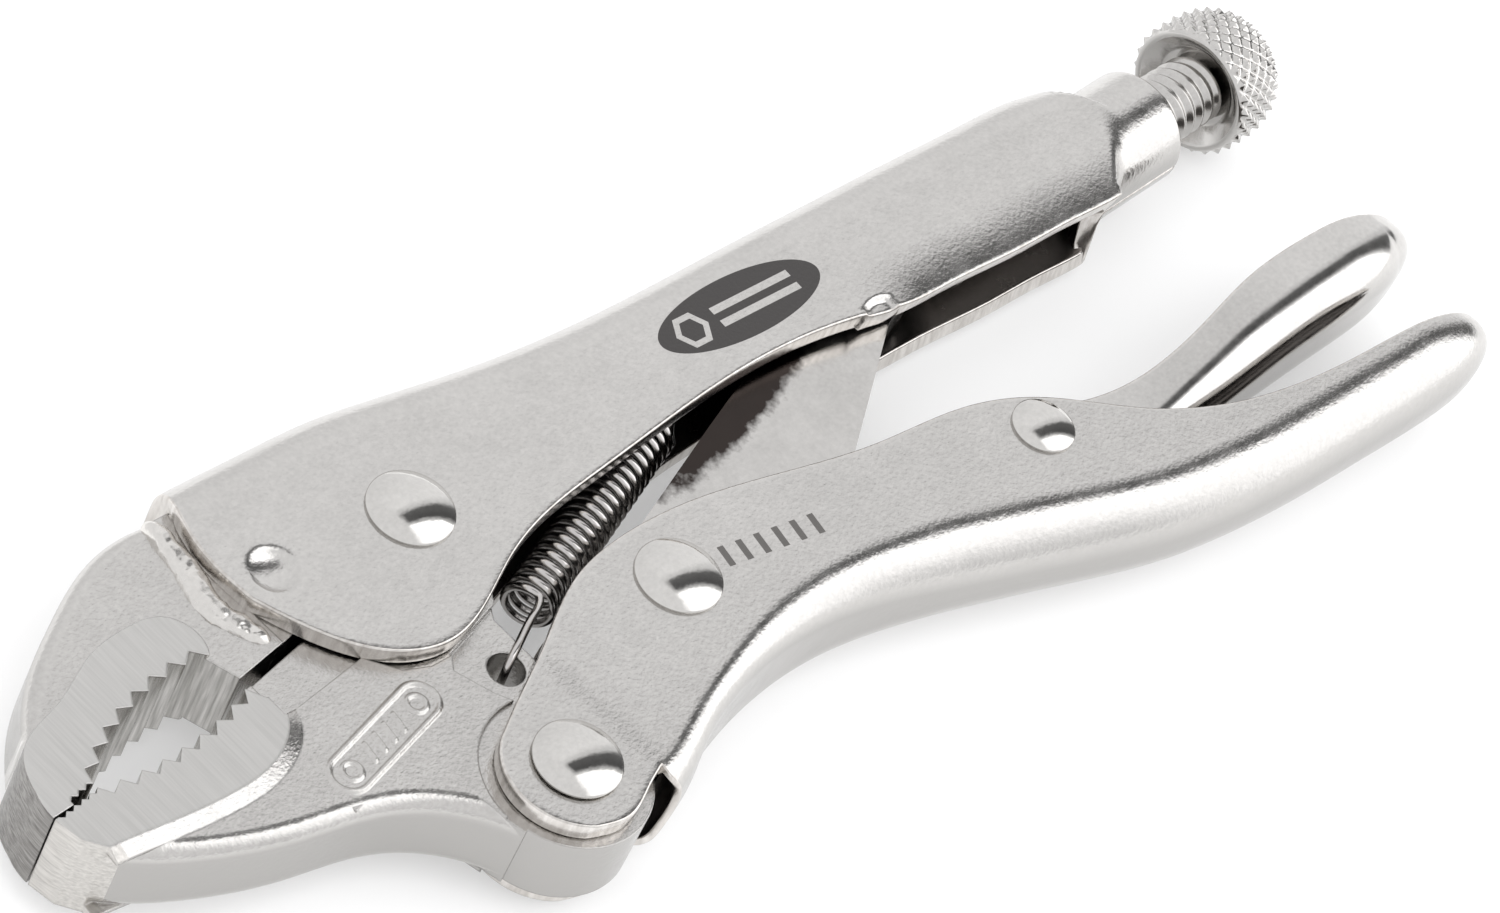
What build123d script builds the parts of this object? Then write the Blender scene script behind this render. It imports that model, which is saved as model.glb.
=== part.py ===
from build123d import *
import math
import os

# Locking pliers, curved jaws, about 180 mm long, millimetres.
# The tool lies on its side: +X from the jaw nose to the adjusting knob, +Y towards the top of
# the fixed handle, +Z across the tool. Everything is drawn around the jaw pivot at (0, 0, 0)
# and moved at the end so that the origin is under the middle of the whole tool.

# pivots in the side plane
JAW_PIVOT = (0.0, 0.0)
LEVER_PIVOT = (-7.3, -29.3)
LINK_PIVOT = (16.8, -20.1)
RELEASE_PIVOT = (63.3, -28.2)
SCREW_AXIS_Y = -4.7
LINK_TAIL = (68.6, SCREW_AXIS_Y)

# widths across the tool
HALF_WIDTH = 6.2            # outside of the handle and of the lever
HANDLE_SHEET = 2.0
LEVER_SHEET = 2.0
HEAD_HALF = 5.0             # ground cheeks of both jaws
BODY_HALF = 4.4             # forged body of the jaws
SHANK_HALF = 3.9            # moving jaw where it runs inside the handle
BOSS_HALF = 3.9             # moving jaw where it runs inside the lever ears
LINK_HALF = 3.0
RELEASE_HALF = 3.8

# rivets
BIG_HEAD_R, BIG_HEAD_H, BIG_SHANK_R = 4.4, 1.6, 2.8
SMALL_HEAD_R, SMALL_HEAD_H, SMALL_SHANK_R = 3.3, 1.2, 2.0
RUNNING = 0.06              # radial clearance of a turning fit
THROUGH = 10.0              # half length of a hole or cut that goes right across the tool
BELOW = -60.0               # a level that clears the underside of the side outline

# adjusting screw and knob
SCREW_R = 3.9
SCREW_TIP_X = 75.2
COLLAR_R = 6.2
COLLAR_START_X, COLLAR_END_X = 99.0, 109.5
CAVITY_END_X = 98.0
KNOB_R = 7.4
KNOB_FRONT_X, KNOB_BACK_X, KNOB_END_X = 119.0, 126.4, 128.3
KNOB_SPIGOT_R = 2.4
DISH_DEPTH, DISH_RIM = 1.9, 0.7
TIP_LENGTH = 1.2            # thinner tip that presses on the link
SEAT_DEPTH = 1.6            # how far the threaded part reaches into the dish

# jaw teeth
FINE_TEETH, COARSE_TEETH = 5, 8
FINE_DEPTH, COARSE_DEPTH = 0.4, 1.1
SEAM = 0.12                 # gap between the closed jaws at the nose

# spring
SPRING_EYE = (-3.0, -17.2)
SPRING_EYE_R = 1.9
EYE_HALF = 3.0
SPRING_START, SPRING_END = (6.2, -12.2), (33.5, -3.8)
SPRING_R, WIRE_R, SPRING_TURNS = 2.1, 0.42, 22
ANCHOR = (40.0, -0.6)       # hole of the spring lug under the spine of the handle
LUG_HALF, LUG_HOLE_R = 0.9, 0.7

# centre of the bounding box and its lowest level, seen from the jaw pivot
ORIGIN = (38.135, -16.359, -HALF_WIDTH - BIG_HEAD_H)


def solid(edges, half):
    """Side outline in the XY plane, thickened both ways across the tool."""
    pieces = [edge for curve in edges for edge in curve.edges()]
    return extrude(make_face(Wire(pieces)), half, both=True)


def box(x0, x1, y0, y1, half):
    return Pos((x0 + x1) / 2, (y0 + y1) / 2, 0) * Box(x1 - x0, y1 - y0, 2 * half)


def step_cut(points, level, side):
    """Block over an outline, from level outwards on one side of the middle plane."""
    depth = 5.0
    cut = extrude(make_face(Polyline(*points, close=True)), depth)
    return Pos(0, 0, level if side > 0 else -level - depth) * cut


def pin(centre, radius, half):
    return Pos(centre[0], centre[1], 0) * Cylinder(radius, 2 * half)


def rod_x(x0, x1, radius):
    """Cylinder along the screw axis."""
    return Pos((x0 + x1) / 2, SCREW_AXIS_Y, 0) * Rot(0, 90, 0) * Cylinder(radius, x1 - x0)


def plan(points, y0, y1):
    """Outline seen from above, half widths mirrored over the middle plane."""
    upper = [(x, z) for x, z in points]
    lower = [(x, -z) for x, z in reversed(points)]
    flat = Plane(origin=(0, y0, 0), x_dir=(1, 0, 0), z_dir=(0, 1, 0))
    face = flat * make_face(Polyline(*upper, *lower, close=True))
    return extrude(face, y1 - y0, dir=(0, 1, 0))


def round_edges(body, radius, picked):
    """Fillet the long edges of body that picked() chooses by their middle point."""
    edges = [e for e in body.edges() if e.length > 4 and picked(e.position_at(0.5))]
    return fillet(edges, radius)


def teeth(start, end, bulge, count, depth):
    """Saw teeth on an arc from start to end; depth is positive to the left of the path."""
    arc = SagittaArc(start, end, bulge) if bulge else Line(start, end)
    points = [start]
    for i in range(count):
        root = (i + 0.5) / count
        tangent = arc % root
        normal = Vector(-tangent.Y, tangent.X)
        points.append((arc @ root) + normal * depth)
        points.append(arc @ ((i + 1) / count))
    return points


# fixed handle

TOP_LINE = [(-17.3, 15.8), (-4.3, 14.9), (6.7, 13.2), (20, 10.3), (36, 8.2), (58, 6.8),
            (95, 4.1), (101.5, 2.6)]
FRONT_EDGE = [(-17.3, 15.8), (-19.6, 11.0), (-20.2, 1.0)]
LOBE = [(-20.2, 1.0), (-18.5, -3.1), (-14.5, -9.3), (-7.1, -12.8), (4.5, -9.1), (20, -6.7),
        (37.5, -5.9), (57.5, -8.0), (62, -9.4)]
REAR_EDGE = [(62, -9.4), (76, -10.8), (93, -12.3), (101.5, -9.8)]
REAR_START_X = 62.0
SLOT_HALF = 3.3
SPINE_ROUND, INNER_ROUND, LIP_ROUND = 4.4, 2.2, 2.8
MOUTH_Y = -20.0             # below the open side of the channel
DIMPLE = (-16.2, 2.1)       # stake mark over the shank of the fixed jaw
DIMPLE_BALL_R, DIMPLE_DEPTH = 5.0, 0.8


def upper_handle():
    """Folded channel, open below, whose rear end is rolled into the threaded collar."""
    outer = solid([Spline(*TOP_LINE), Spline(*FRONT_EDGE), Spline(*LOBE), Spline(*REAR_EDGE),
                   Line(REAR_EDGE[-1], TOP_LINE[-1])], HALF_WIDTH)
    outer = round_edges(outer, SPINE_ROUND, lambda p: p.Y > 5 and p.X > -18 and abs(p.Z) > 5)
    outer = round_edges(outer, LIP_ROUND, lambda p: p.X > 70 and p.Y < -9 and abs(p.Z) > 5)
    half = HALF_WIDTH - HANDLE_SHEET
    roof = [(x, y - HANDLE_SHEET) for x, y in TOP_LINE[1:-2]]
    roof = [(-24.0, 14.2), *roof, (CAVITY_END_X, 1.7)]
    corners = [(CAVITY_END_X, -7.5), (REAR_START_X, -7.0), (REAR_START_X, MOUTH_Y), (roof[0][0], MOUTH_Y)]
    front = solid([Spline(*roof), Polyline(roof[-1], *corners, roof[0])], half)
    front = round_edges(front, INNER_ROUND, lambda p: p.Y > 1 and abs(p.Z) > 3)
    slot = box(REAR_START_X - 1, CAVITY_END_X, MOUTH_Y, -5, SLOT_HALF)
    collar = rod_x(COLLAR_START_X, COLLAR_END_X, COLLAR_R)
    bore = rod_x(CAVITY_END_X - 1, COLLAR_END_X + 1, SCREW_R + RUNNING)
    lug = box(ANCHOR[0] - 1.0, ANCHOR[0] + 1.0, ANCHOR[1] - 1.4, 7.0, LUG_HALF)
    lug -= pin(ANCHOR, LUG_HOLE_R, THROUGH)
    body = outer - front - slot + collar - bore + lug
    for side in (1, -1):
        body -= Pos(*DIMPLE, side * (HALF_WIDTH + DIMPLE_BALL_R - DIMPLE_DEPTH)) * Sphere(DIMPLE_BALL_R)
    return body - pin(JAW_PIVOT, BIG_SHANK_R, THROUGH)


# jaws

FIXED_BACK = [(-52.0, -6.2 + SEAM), (-51.6, -3.6), (-49.0, 0.4), (-44.0, 5.8), (-36.5, 10.3),
              (-28.5, 13.5), (-23.5, 13.9)]
CHEEK_TOP = [(-51.9, -6.0), (-51.4, -3.0), (-49.2, 0.8), (-43.0, 2.8), (-36.5, 5.2), (-32.0, 5.5),
             (-27.8, 4.3), (-26.6, 1.5), (-27.3, -1.0)]
FIXED_FINE = ((-51.6, -6.1 + SEAM), (-46.4, -5.5 + SEAM))
FIXED_COARSE_END = (-27.6, -0.9)
HUB_R = 7.6                 # moving jaw around the jaw pivot
CUTTER_Y = -4.6             # where the two cutting edges meet
BACK_ROUND, BELLY_ROUND = 1.6, 1.8
BEVEL_WIDTH = 1.5           # slope from the ground cheek of the moving jaw down to its body


def fixed_jaw():
    """Forged jaw whose shank is welded between the walls of the handle."""
    fine = teeth(*FIXED_FINE, 0, FINE_TEETH, FINE_DEPTH)
    coarse = teeth(FIXED_FINE[1], FIXED_COARSE_END, 1.9, COARSE_TEETH, COARSE_DEPTH)
    low = [FIXED_COARSE_END, (-26.4, CUTTER_Y + 0.3), (-20.0, CUTTER_Y + 1.0)]
    back = Spline(*FIXED_BACK)
    grip = Polyline(FIXED_BACK[0], *fine, *coarse[1:], *low[1:])
    head = solid([back, Line(FIXED_BACK[-1], (-20.6, 13.4)), Line((-20.6, 13.4), low[-1]), grip],
                 BODY_HALF)
    head = round_edges(head, BACK_ROUND, lambda p: p.Y > 0.5 and abs(p.Z) > 4 and p.X < -30)
    cheek = solid([Spline(*CHEEK_TOP), Line(CHEEK_TOP[-1], FIXED_COARSE_END),
                   Polyline(FIXED_BACK[0], *fine, *coarse[1:]), Line(CHEEK_TOP[0], FIXED_BACK[0])],
                  HEAD_HALF)
    nose = box(-53, -49.5, -6.2, 0.4, HEAD_HALF) & solid(
        [back, Line(FIXED_BACK[-1], (-23.5, -6.0)), Line((-23.5, -6.0), FIXED_BACK[0])], 6)
    half = HALF_WIDTH - HANDLE_SHEET
    shank = solid([Polyline((-20.7, 13.3), (-8.0, 12.6), (-6.5, 9.5), (-9.6, 3.0), (-9.6, -2.2),
                            (-20.7, -3.7), close=True)], half)
    return head + cheek + nose + shank


JAW_BELLY = [(-52.0, -6.3), (-51.7, -8.6), (-48.8, -12.3), (-42.0, -16.6), (-33.4, -20.0),
             (-24.3, -22.7), (-18.8, -26.6), (-15.6, -31.5)]
MOVING_FINE = ((-51.6, -6.3), (-46.4, -5.9))
MOVING_COARSE_END = (-27.3, -5.6)
SHELF = [(-26.1, -9.8), (-15.0, -9.0), (-12.6, -12.2), (-9.9, -13.4), (-7.0, -13.6), (-3.8, -13.2),
         (-0.3, -12.0), (8.0, -9.0), (8.0, 9.0), (-26.1, 9.0)]
EYE_POCKET = [(3.0, -11.0), (-7.0, -13.2), (-8.5, -15.0), (-7.0, -19.0), (-5.6, -21.4), (3.0, -21.4)]
EAR_GROUND = [(-6.5, -20.8), (3.0, -20.8), (3.0, -32.0), (-6.5, -32.0)]
MOVING_CHEEK = [(-50.0, -11.2), (-43.0, -12.4), (-36.0, -13.3), (-29.5, -12.6), (-26.0, -9.8),
                (-26.2, -7.5)]
BOSS_R = 8.2                # moving jaw around the lever pivot
EAR_SWEEP_R = 8.8           # room for the lever ears


def belly_blank():
    """Block with the rounded belly of the moving jaw, open-ended past the nose and the boss."""
    nose, heel = JAW_BELLY[0], JAW_BELLY[-1]
    corners = [(heel[0] + 2, heel[1] - 8), (20, heel[1] - 8), (20, 20), (nose[0], 20)]
    block = solid([Spline(*JAW_BELLY), Polyline(heel, *corners, nose)], BODY_HALF)
    return round_edges(block, BELLY_ROUND, lambda p: p.Y < -10 and p.X < -20 and abs(p.Z) > 4)


def cheek_bevel():
    """Sloping band from the lower edge of the ground cheek down to the forged body, both faces."""
    path = Spline(*[(x, y, BODY_HALF) for x, y in MOVING_CHEEK])
    along = path % 0
    section = Plane(origin=path @ 0, x_dir=(along.Y, -along.X, 0), z_dir=along)
    rise = HEAD_HALF - BODY_HALF
    wedge = Polyline((-0.4, -rise), (0, -rise), (BEVEL_WIDTH, 0), (BEVEL_WIDTH, 0.4), (-0.4, 0.4), close=True)
    band = sweep(section * make_face(wedge), path=path)
    return band + mirror(band, about=Plane.XY)


def moving_jaw():
    """Forged jaw that turns on the jaw pivot and carries the lever and the spring eye."""
    fine = teeth(*MOVING_FINE, 0, FINE_TEETH, -FINE_DEPTH)
    coarse = teeth(MOVING_FINE[1], MOVING_COARSE_END, -1.3, COARSE_TEETH, -COARSE_DEPTH)
    grip = Polyline(JAW_BELLY[0], *fine, *coarse[1:], (-26.4, CUTTER_Y - 0.9), (-10.5, -3.4))
    body = solid([grip, Line((-10.5, -3.4), (-5.5, -5.0)), Line((-5.5, -5.0), (4.8, -5.8)),
                  Line((4.8, -5.8), (0.2, -12.5)), Line((0.2, -12.5), (0.2, -21.5)),
                  Line((0.2, -21.5), (-7.3, -29.3)), Line((-7.3, -29.3), JAW_BELLY[-1]),
                  Spline(*JAW_BELLY)], BODY_HALF)
    body &= belly_blank()
    body += pin(LEVER_PIVOT, BOSS_R, BODY_HALF)
    body += pin(JAW_PIVOT, HUB_R, SHANK_HALF)
    cheek = solid([Spline(*MOVING_CHEEK), Line(MOVING_CHEEK[-1], MOVING_COARSE_END),
                   Polyline(JAW_BELLY[0], *fine, *coarse[1:]),
                   Polyline(JAW_BELLY[0], (-51.5, -9.2), MOVING_CHEEK[0])], HEAD_HALF)
    body += cheek
    body += cheek_bevel()
    for side in (1, -1):
        # low shelf under the handle wall, spot face for the lever ear, spring eye pocket
        shelf = step_cut(SHELF, SHANK_HALF, side)
        spot = Pos(*LEVER_PIVOT, side * (BOSS_HALF + THROUGH / 2)) * Cylinder(EAR_SWEEP_R, THROUGH)
        body = body - shelf - spot - step_cut(EAR_GROUND, BOSS_HALF, side)
        body -= step_cut(EYE_POCKET, EYE_HALF, side)
    body -= pin(JAW_PIVOT, BIG_SHANK_R + RUNNING, THROUGH)
    body -= pin(LEVER_PIVOT, BIG_SHANK_R + RUNNING, THROUGH)
    body -= pin(SPRING_EYE, SPRING_EYE_R, THROUGH)
    return body


# lever, link and release lever

LEVER_TOP = [(-11.4, -23.6), (-1.5, -19.1), (9.0, -14.5), (17.5, -13.8), (27.5, -15.2),
             (45.5, -20.0), (60.5, -22.9), (66.5, -26.0), (74.5, -32.5), (83.5, -37.4),
             (99.5, -40.9), (111.5, -42.1), (121.3, -43.9)]
LEVER_BOTTOM = [(1.2, -35.9), (5.5, -34.4), (11.0, -32.8), (21.5, -31.1), (30.0, -31.6),
                (41.0, -34.3), (61.0, -41.4), (77.0, -45.8), (97.0, -47.8), (112.0, -48.5),
                (121.3, -47.6)]
LEVER_PLAN = [(-20, 6.2), (108, 6.2), (113, 5.9), (117, 4.8), (120, 2.9), (121.3, 0.7)]
EAR_R = 7.0
EAR_FRONT_X, SPINE_FRONT_X = -25.0, 1.2     # in front of the spine only the two ears go on
LEVER_BEND, LEVER_INNER_BEND = 3.6, 1.8
LEVER_CAVITY_END_X = 116.5


def lever():
    """Channel, open above, with two ears around the rear boss of the moving jaw."""
    outline = [Spline(*LEVER_TOP), Line(LEVER_TOP[-1], LEVER_BOTTOM[-1]), Spline(*LEVER_BOTTOM),
               Line(LEVER_BOTTOM[0], (LEVER_PIVOT[0] + 3, LEVER_PIVOT[1] - 6.3)),
               Line((LEVER_PIVOT[0] + 3, LEVER_PIVOT[1] - 6.3), LEVER_TOP[0])]
    outer = solid(outline, HALF_WIDTH)
    outer = round_edges(outer, LEVER_BEND, lambda p: p.Y < -34 and abs(p.Z) > 5 and p.X > 15)
    outer &= plan(LEVER_PLAN, BELOW, 0)
    outer += pin(LEVER_PIVOT, EAR_R, HALF_WIDTH)
    floor = [(x, y + LEVER_SHEET) for x, y in LEVER_BOTTOM[:-1]] + [(LEVER_CAVITY_END_X, -46.2)]
    half = HALF_WIDTH - LEVER_SHEET
    inner = solid([Spline(*floor), Polyline(floor[-1], (LEVER_CAVITY_END_X, 0), (floor[0][0], 0), floor[0])],
                  half)
    inner = round_edges(inner, LEVER_INNER_BEND, lambda p: p.Y < -34 and abs(p.Z) > 3 and p.X > 15)
    inner &= plan([(-20, half), (108, half), (113, 3.6), (LEVER_CAVITY_END_X, 1.8)], BELOW, 0)
    mouth = box(EAR_FRONT_X, SPINE_FRONT_X, BELOW, 0, half)
    body = outer - inner - mouth
    for centre, radius in ((LEVER_PIVOT, BIG_SHANK_R), (LINK_PIVOT, BIG_SHANK_R),
                           (RELEASE_PIVOT, SMALL_SHANK_R)):
        body -= pin(centre, radius, THROUGH)
    return body


LINK_TAIL_R, LINK_HUB_R = 2.8, 6.3


def toggle_link():
    """Thrust link from the lever to the tip of the adjusting screw."""
    top = [(14.0, -14.4), (20.2, -12.8), (28.9, -10.2), (48.0, -4.8), (LINK_TAIL[0], -1.9)]
    lower = [(LINK_TAIL[0], SCREW_AXIS_Y - LINK_TAIL_R), (62.4, -9.2), (46.4, -18.6), (40.0, -22.2),
             (20.0, -25.6)]
    body = solid([Spline(*top), Polyline(top[-1], *lower, top[0])], LINK_HALF)
    body += pin(LINK_TAIL, LINK_TAIL_R, LINK_HALF)
    body += pin(LINK_PIVOT, LINK_HUB_R, LINK_HALF)
    return body - pin(LINK_PIVOT, BIG_SHANK_R + RUNNING, THROUGH)


RELEASE_TOP = [(57.0, -24.6), (64.0, -24.4), (71.0, -27.2), (81.0, -29.1), (90.0, -28.6),
               (99.0, -27.5), (109.0, -27.5), (123.8, -30.2)]
RELEASE_BOTTOM = [(44.0, -27.0), (58.0, -32.2), (72.0, -35.2), (86.0, -35.6), (100.0, -35.5),
                  (112.0, -35.5), (119.0, -34.8), (123.8, -33.2)]
RELEASE_PLAN = [(30, RELEASE_HALF), (78, RELEASE_HALF), (86, 4.4), (94, 5.8), (100, 6.3),
                (110, 6.3), (115, 5.8), (119, 4.8), (122, 3.0), (123.8, 0.9)]
RELEASE_SHEET = 1.6
RELEASE_CAVITY_X = (58.0, 120.5)


def release_lever():
    """Trigger: a narrow channel inside the lever that widens into a finger tail."""
    outline = [Spline(*RELEASE_TOP), Line(RELEASE_TOP[-1], RELEASE_BOTTOM[-1]),
               Spline(*RELEASE_BOTTOM), Line(RELEASE_BOTTOM[0], (44.0, -25.4)),
               Line((44.0, -25.4), RELEASE_TOP[0])]
    outer = solid(outline, HALF_WIDTH + 1)
    outer &= plan(RELEASE_PLAN, BELOW, 0)
    start, end = RELEASE_CAVITY_X
    floor = [(x, y + RELEASE_SHEET) for x, y in RELEASE_BOTTOM[1:-2]] + [(end, -32.9)]
    inner = solid([Spline(*floor), Polyline(floor[-1], (end, 0), (start, 0), floor[0])], HALF_WIDTH + 1)
    inner &= plan([(x, z - RELEASE_SHEET) for x, z in RELEASE_PLAN[:-1]], BELOW, 0)
    return outer - inner - pin(RELEASE_PIVOT, SMALL_SHANK_R + RUNNING, THROUGH)


# screw, knob, spring, rivets and weld

def adjusting_screw():
    """Threaded rod drawn plain at its outside diameter, with a stepped thrust tip."""
    rod = rod_x(SCREW_TIP_X + TIP_LENGTH, KNOB_FRONT_X + SEAT_DEPTH, SCREW_R)
    tip = rod_x(SCREW_TIP_X, SCREW_TIP_X + TIP_LENGTH, SCREW_R - 1.0)
    return rod + tip + rod_x(KNOB_FRONT_X, KNOB_BACK_X, KNOB_SPIGOT_R)


def adjusting_knob():
    """Round knob with a dished front face and a domed back."""
    body = rod_x(KNOB_FRONT_X, KNOB_END_X, KNOB_R)
    rise = KNOB_END_X - KNOB_BACK_X
    dome_r = (KNOB_R ** 2 + rise ** 2) / (2 * rise)
    body &= Pos(KNOB_END_X - dome_r, SCREW_AXIS_Y, 0) * Sphere(dome_r)
    dish = Pos(KNOB_FRONT_X + DISH_DEPTH / 2, SCREW_AXIS_Y, 0) * Rot(0, 90, 0)
    body -= dish * Cone(KNOB_R - DISH_RIM, SCREW_R + 0.5, DISH_DEPTH)
    return body - rod_x(KNOB_FRONT_X, KNOB_BACK_X + 0.1, KNOB_SPIGOT_R + RUNNING)


def wire(start, end):
    """Straight piece of spring wire with round ends."""
    start, end = Vector(*start), Vector(*end)
    along = end - start
    piece = extrude(Plane(origin=start, z_dir=along) * Circle(WIRE_R), along.length)
    return piece + Pos(start) * Sphere(WIRE_R) + Pos(end) * Sphere(WIRE_R)


def return_spring():
    """Coil between the eye of the moving jaw and the lug in the handle."""
    (x0, y0), (x1, y1) = SPRING_START, SPRING_END
    length = math.hypot(x1 - x0, y1 - y0)
    angle = math.degrees(math.atan2(y1 - y0, x1 - x0))
    helix = Helix(length / SPRING_TURNS, length, SPRING_R)
    section = Plane(origin=helix @ 0, z_dir=helix % 0) * Circle(WIRE_R)
    place = Pos(x0, y0, 0) * Rot(0, 0, angle) * Rot(0, 90, 0)
    coil = place * sweep(section, path=helix, is_frenet=True)
    first, last = (place * Pos(helix @ 0)).position, (place * Pos(helix @ 1)).position
    level = EYE_HALF + 0.8
    hook = [first, (1.6, -15.3, level), (SPRING_EYE[0] + 0.4, SPRING_EYE[1] + 0.1, level),
            (SPRING_EYE[0], SPRING_EYE[1], -1.0)]
    tail = [last, (ANCHOR[0] - 2.2, ANCHOR[1] - 1.0, 1.7), (ANCHOR[0], ANCHOR[1], 1.7),
            (ANCHOR[0], ANCHOR[1], -1.5)]
    runs = [wire(a, b) for run in (hook, tail) for a, b in zip(run, run[1:])]
    return Compound([coil, sum(runs[1:3], runs[0]), sum(runs[4:], runs[3])])


def rivet(centre, head_r, head_h, shank_r, half):
    """Shank with a domed head on both faces."""
    dome_r = (head_r ** 2 + head_h ** 2) / (2 * head_h)
    body = Cylinder(shank_r, 2 * half)
    for side in (1, -1):
        ball = Pos(0, 0, side * (half + head_h - dome_r)) * Sphere(dome_r)
        body += ball & (Pos(0, 0, side * (half + head_h / 2)) * Cylinder(head_r, head_h))
    return Pos(*centre, 0) * body


WELD_PATH = [(-21.9, 13.2), (-21.4, 9.0), (-21.6, 4.5), (-22.3, 0.5), (-21.6, -2.6)]
WELD_R = 1.5


def weld_bead(side):
    """Bead that joins the fixed jaw to one wall of the handle."""
    level = side * (BODY_HALF + 0.1)
    path = Spline(*[(x, y, level) for x, y in WELD_PATH])
    ring = Plane(origin=path @ 0, z_dir=path % 0) * Circle(WELD_R)
    body = sweep(ring, path=path)
    for end in (0, 1):
        body += Pos(path @ end) * Sphere(WELD_R)
    return body


def build():
    """Every sub-part under its node name, around the jaw pivot."""
    big = (BIG_HEAD_R, BIG_HEAD_H, BIG_SHANK_R, HALF_WIDTH)
    small = (SMALL_HEAD_R, SMALL_HEAD_H, SMALL_SHANK_R, HALF_WIDTH)
    handle = upper_handle()
    jaw = fixed_jaw() - handle
    return {
        "upper_handle": handle,
        "fixed_jaw": jaw,
        "weld_bead_near": weld_bead(1) - jaw - handle,
        "weld_bead_far": weld_bead(-1) - jaw - handle,
        "moving_jaw": moving_jaw(),
        "lever": lever(),
        "toggle_link": toggle_link(),
        "release_lever": release_lever(),
        "adjusting_screw": adjusting_screw(),
        "adjusting_knob": adjusting_knob(),
        "return_spring": return_spring(),
        "jaw_pivot_rivet": rivet(JAW_PIVOT, *big),
        "lever_pivot_rivet": rivet(LEVER_PIVOT, *big),
        "link_rivet": rivet(LINK_PIVOT, *big),
        "release_lever_rivet": rivet(RELEASE_PIVOT, *small),
    }


os.makedirs("parts", exist_ok=True)
place = Pos(-ORIGIN[0], -ORIGIN[1], -ORIGIN[2])
for name, shape in build().items():
    export_step(place * shape, f"parts/{name}.step")
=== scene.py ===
import bmesh, bpy, math
import numpy as np
from mathutils import Matrix, Vector


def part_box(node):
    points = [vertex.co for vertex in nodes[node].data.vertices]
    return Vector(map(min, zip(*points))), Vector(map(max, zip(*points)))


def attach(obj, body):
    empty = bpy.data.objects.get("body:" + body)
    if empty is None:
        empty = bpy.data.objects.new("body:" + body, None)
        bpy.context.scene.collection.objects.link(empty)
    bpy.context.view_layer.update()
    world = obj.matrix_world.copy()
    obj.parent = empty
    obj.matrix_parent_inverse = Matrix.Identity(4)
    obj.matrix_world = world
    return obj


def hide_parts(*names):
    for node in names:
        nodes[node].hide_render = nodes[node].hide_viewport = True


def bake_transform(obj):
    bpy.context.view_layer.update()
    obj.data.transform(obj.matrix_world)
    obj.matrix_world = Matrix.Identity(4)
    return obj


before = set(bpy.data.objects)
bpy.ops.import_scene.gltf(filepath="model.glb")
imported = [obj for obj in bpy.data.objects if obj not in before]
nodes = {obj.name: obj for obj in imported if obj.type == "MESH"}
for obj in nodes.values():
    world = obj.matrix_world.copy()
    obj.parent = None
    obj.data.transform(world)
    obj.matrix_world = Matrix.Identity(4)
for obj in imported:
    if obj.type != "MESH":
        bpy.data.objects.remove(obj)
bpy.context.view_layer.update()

# Lengths below are millimetres, drawn around the middle of the jaw pivot rivet.
mm = 0.001
pivot = np.array(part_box("jaw_pivot_rivet")).mean(axis=0) / mm
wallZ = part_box("upper_handle")[1][2] / mm - pivot[2]  # outer face of the near wall
tiny = 1e-9  # keeps a division away from zero
mergeGap = 1e-7  # points closer than this, in metres, become one
print("frame loaded, pivot at", pivot.round(2), "wall at", round(wallZ, 2))


def addNode(tree, kind, **values):
    node = tree.nodes.new(kind)
    for name, value in values.items():
        node.inputs[name].default_value = value
    return node


def mathNode(tree, operation, first, second=0.0, third=0.0):
    node = tree.nodes.new("ShaderNodeMath")
    node.operation = operation
    for i, value in enumerate((first, second, third)):
        if isinstance(value, (int, float)):
            node.inputs[i].default_value = value
        else:
            tree.links.new(value, node.inputs[i])
    return node.outputs[0]


def multiply(tree, *values):
    result = values[0]
    for value in values[1:]:
        result = mathNode(tree, "MULTIPLY", result, value)
    return result


def remap(tree, value, fromLow, fromHigh, low=0.0, high=1.0):
    # straight line from low at fromLow to high at fromHigh, held beyond both
    node = addNode(tree, "ShaderNodeMapRange", **{"From Min": fromLow, "From Max": fromHigh,
                                                  "To Min": low, "To Max": high})
    tree.links.new(value, node.inputs["Value"])
    return node.outputs["Result"]


noiseSpan = (0.3, 0.7)  # where most of a noise output lies


def spread(tree, value, low, high):
    # noise output from its usual middle span to low..high
    return remap(tree, value, *noiseSpan, low, high)


def dotWith(tree, where, direction):
    node = tree.nodes.new("ShaderNodeVectorMath")
    node.operation = "DOT_PRODUCT"
    node.inputs[1].default_value = direction
    tree.links.new(where, node.inputs[0])
    return node.outputs["Value"]


def noise(tree, where, scale, detail=2.0, stretch=None):
    # stretch divides the pattern's frequency per axis, for brushed lines
    node = addNode(tree, "ShaderNodeTexNoise", Scale=scale, Detail=detail, Roughness=0.55)
    if stretch:
        squeeze = addNode(tree, "ShaderNodeMapping")
        squeeze.inputs["Scale"].default_value = stretch
        tree.links.new(where, squeeze.inputs["Vector"])
        where = squeeze.outputs["Vector"]
    tree.links.new(where, node.inputs["Vector"])
    return node.outputs["Fac"]


def mixColour(tree, factor, first, second):
    node = tree.nodes.new("ShaderNodeMix")
    node.data_type = "RGBA"
    for socket, value in ((node.inputs[0], factor), (node.inputs[6], first), (node.inputs[7], second)):
        if isinstance(value, (int, float)):
            socket.default_value = value
        elif isinstance(value, tuple):
            socket.default_value = (*value, 1)
        else:
            tree.links.new(value, socket)
    return node.outputs[2]


def mixValue(tree, factor, first, second):
    node = tree.nodes.new("ShaderNodeMix")
    for socket, value in ((node.inputs[0], factor), (node.inputs[2], first), (node.inputs[3], second)):
        if isinstance(value, (int, float)):
            socket.default_value = value
        else:
            tree.links.new(value, socket)
    return node.outputs[0]


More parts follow.
